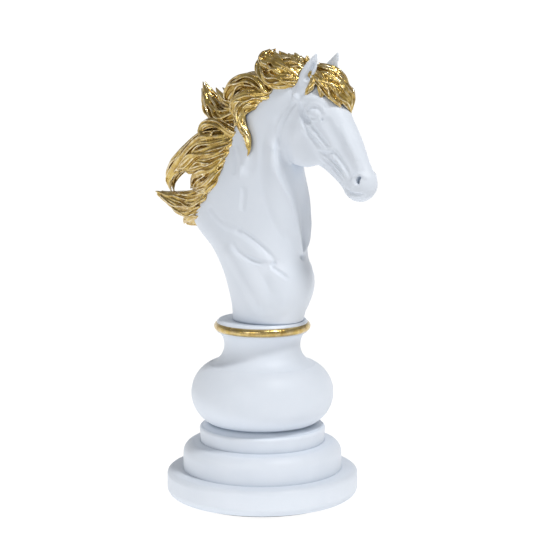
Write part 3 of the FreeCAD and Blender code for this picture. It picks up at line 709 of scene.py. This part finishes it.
def gold_paint():
    """Glossy antique gold: painted umber shade in the grooves, painted pale highlights on the sharp ridges, a
    thin uneven lacquer.
    """
    paint = Paint("gold_leaf_paint", roughness=0.25, metallic=0.78)
    # Painted shade: groove darkens the gold towards umber where the surface is enclosed, between the strands
    # of hair, and body carries it on.
    groove = paint.ramp(paint.recess(0.0024), [(0.15, (0.34, 0.175, 0.008)), (0.50, (0.48, 0.31, 0.040)),
                                               (0.95, (0.66, 0.48, 0.14))])
    patch = paint.ramp(paint.noise(150), [(0.36, (0.66, 0.58, 0.44)), (0.64, (1.0, 1.0, 1.0))])
    body = paint.mix(1.0, groove, patch, "MULTIPLY")
    # Painted highlight: a pale cream colour on sharp ridges, broken into patches by noise, stands in for
    # glints of light on the gold.
    ridge = paint.ramp(paint.pointed(), [(0.50, (0.0, 0.0, 0.0)), (0.575, (1.0, 1.0, 1.0))])
    highlight_patches = paint.ramp(paint.noise(260), [(0.40, (0.0, 0.0, 0.0)), (0.58, (1.0, 1.0, 1.0))])
    painted_highlight = paint.mix(1.0, ridge, highlight_patches, "MULTIPLY")
    paint.into(paint.mix(painted_highlight, body, (1.0, 0.92, 0.71)), "Base Color")
    paint.into(paint.scaled(paint.noise(320), 0.12, 0.36), "Roughness")
    paint.shader.inputs["Coat Weight"].default_value = 0.4
    paint.shader.inputs["Coat Roughness"].default_value = 0.14
    paint.bump(paint.noise(420, 4), 0.00028)
    return paint.material


def plain_stuff(name, dark, light, scale, roughness, metallic=0.0, depth=0.0001):
    paint = Paint(name, roughness, metallic)
    paint.into(paint.ramp(paint.noise(scale), [(0.3, dark), (0.7, light)]), "Base Color")
    paint.into(paint.scaled(paint.noise(scale * 2), roughness - 0.08, roughness + 0.08), "Roughness")
    paint.bump(paint.noise(scale * 4, 3), depth)
    return paint.material


def dress(nodes, made_materials):
    slots = {part["node"]: part["material_slot"] for part in frame["record"]["subparts"]}
    for name, node in nodes.items():
        node.data.materials.clear()
        node.data.materials.append(made_materials[slots[name]])
        node.data.polygons.foreach_set("use_smooth", [True] * len(node.data.polygons))


def paint_all(pieces):
    made = {
        "white_resin": white_resin(),
        "gold_leaf_paint": gold_paint(),
        "zinc_steel": plain_stuff("zinc_steel", (0.50, 0.51, 0.52), (0.66, 0.67, 0.68), 300, 0.35, 1.0),
        "brass_insert": plain_stuff("brass_insert", (0.62, 0.45, 0.18), (0.78, 0.60, 0.28), 300, 0.3, 1.0),
        "beech": plain_stuff("beech", (0.58, 0.42, 0.27), (0.72, 0.55, 0.37), 160, 0.6),
        "fibreboard": plain_stuff("fibreboard", (0.36, 0.26, 0.17), (0.52, 0.39, 0.26), 700, 0.8),
        "felt": plain_stuff("felt", (0.015, 0.017, 0.016), (0.045, 0.05, 0.047), 1600, 0.92, depth=0.0004),
        "sand": plain_stuff("sand", (0.50, 0.42, 0.29), (0.74, 0.65, 0.48), 2200, 0.9, depth=0.0005),
        "black_rubber": plain_stuff("black_rubber", (0.012, 0.012, 0.012), (0.03, 0.03, 0.03), 500, 0.55),
    }
    dress(frame["nodes"], made)
    for piece in pieces:
        piece.data.materials.clear()
        piece.data.materials.append(made[piece["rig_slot"]])


# ------------------------------------------------------------------ studio
BEARING = math.radians(35.0)
BACKDROP = Vector((-math.sin(BEARING), math.cos(BEARING), 0))
FLOOR_GLOW, FLOOR_DIM = 0.98, 0.20
FLOOR_LEVEL = -0.014       # just below the foot, so that the plug can be drawn out
SKY_BRIGHT, SKY_DIM, SKY_BEHIND = 1.05, 0.26, 0.50


def ranged(tree, source, before, after):
    """A value carried from one range of numbers to another."""
    made = tree.nodes.new("ShaderNodeMapRange")
    sockets = ("From Min", "From Max", "To Min", "To Max")
    for name, value in zip(sockets, (*before, *after)):
        made.inputs[name].default_value = value
    tree.links.new(source, made.inputs["Value"])
    return made.outputs["Result"]


def towards_backdrop(tree, source):
    """How far a place or a way lies towards the backdrop."""
    made = tree.nodes.new("ShaderNodeVectorMath")
    made.operation = "DOT_PRODUCT"
    made.inputs[1].default_value = BACKDROP
    tree.links.new(source, made.inputs[0])
    return made.outputs["Value"]


def make_floor():
    """A wide floor that glows under and beyond the piece and lies dark in front of it."""
    size = 6.0
    corners = [(-size, -size), (size, -size), (size, size), (-size, size)]
    mesh = bpy.data.meshes.new("floor")
    mesh.from_pydata([(x, y, FLOOR_LEVEL) for x, y in corners], [], [(0, 1, 2, 3)])
    floor = bpy.data.objects.new("floor", mesh)
    bpy.context.scene.collection.objects.link(floor)
    paint = Paint("studio_floor", roughness=0.95)
    greys = [(0.3, (0.24, 0.24, 0.24)), (0.7, (0.26, 0.26, 0.26))]
    paint.into(paint.ramp(paint.noise(3), greys), "Base Color")
    tree = paint.material.node_tree
    paint.shader.inputs["Emission Color"].default_value = (1, 1, 1, 1)
    paint.into(ranged(tree, towards_backdrop(tree, paint.place), (-0.50, -0.12), (FLOOR_DIM, FLOOR_GLOW)),
               "Emission Strength")
    paint.shader.inputs["Specular IOR Level"].default_value = 0.0
    mesh.materials.append(paint.material)


def make_sky():
    """White at the horizon beyond the piece, dimmer overhead and on the side that faces the backdrop."""
    world = bpy.data.worlds.new("studio")
    world.use_nodes = True
    tree = world.node_tree
    way = tree.nodes.new("ShaderNodeTexCoord").outputs["Generated"]
    split = tree.nodes.new("ShaderNodeSeparateXYZ")
    tree.links.new(way, split.inputs["Vector"])
    upward = ranged(tree, split.outputs["Z"], (0.16, 0.42), (SKY_BRIGHT, SKY_DIM))
    around = ranged(tree, towards_backdrop(tree, way), (-0.2, 0.6), (SKY_BEHIND, 1.0))
    product = tree.nodes.new("ShaderNodeMath")
    product.operation = "MULTIPLY"
    tree.links.new(upward, product.inputs[0])
    tree.links.new(around, product.inputs[1])
    background = tree.nodes["Background"]
    tree.links.new(product.outputs["Value"], background.inputs["Strength"])
    background.inputs["Color"].default_value = (1, 1, 1, 1)
    bpy.context.scene.world = world


def area_light(name, place, target, size, power):
    light = bpy.data.lights.new(name, "AREA")
    light.shape = "DISK"
    light.size = size
    light.energy = power
    lamp = bpy.data.objects.new(name, light)
    lamp.location = place
    lamp.rotation_euler = (Vector(target) - Vector(place)).to_track_quat("-Z", "Y").to_euler()
    bpy.context.scene.collection.objects.link(lamp)


def make_lights():
    middle = (0, 0, 0.15)
    area_light("key", (0.70, -0.10, 1.30), middle, 0.25, 10.0)
    area_light("fill", (0.20, -1.25, 0.60), middle, 0.8, 4.6)


CAMERA_DISTANCE, CAMERA_HEIGHT, CAMERA_ASIDE, CAMERA_PITCH = 1.010, 0.284, 0.0076, math.radians(-8.7)


def make_camera():
    """Stands off the horse's right shoulder, about level with its ears."""
    across = Vector((math.cos(BEARING), math.sin(BEARING), 0))
    lens = bpy.data.cameras.new("camera")
    lens.lens = 116.3
    lens.sensor_width = 36
    camera = bpy.data.objects.new("camera", lens)
    camera.location = -BACKDROP * CAMERA_DISTANCE + across * CAMERA_ASIDE + Vector((0, 0, CAMERA_HEIGHT))
    look = BACKDROP * math.cos(CAMERA_PITCH) + Vector((0, 0, math.sin(CAMERA_PITCH)))
    camera.rotation_euler = look.to_track_quat("-Z", "Y").to_euler()
    bpy.context.scene.collection.objects.link(camera)
    bpy.context.scene.camera = camera


def make_scene():
    pieces = [make_bust(), *make_hair()]
    paint_all(pieces)
    make_floor()
    make_sky()
    make_lights()
    make_camera()
    bpy.context.scene.view_settings.view_transform = "Standard"


make_scene()
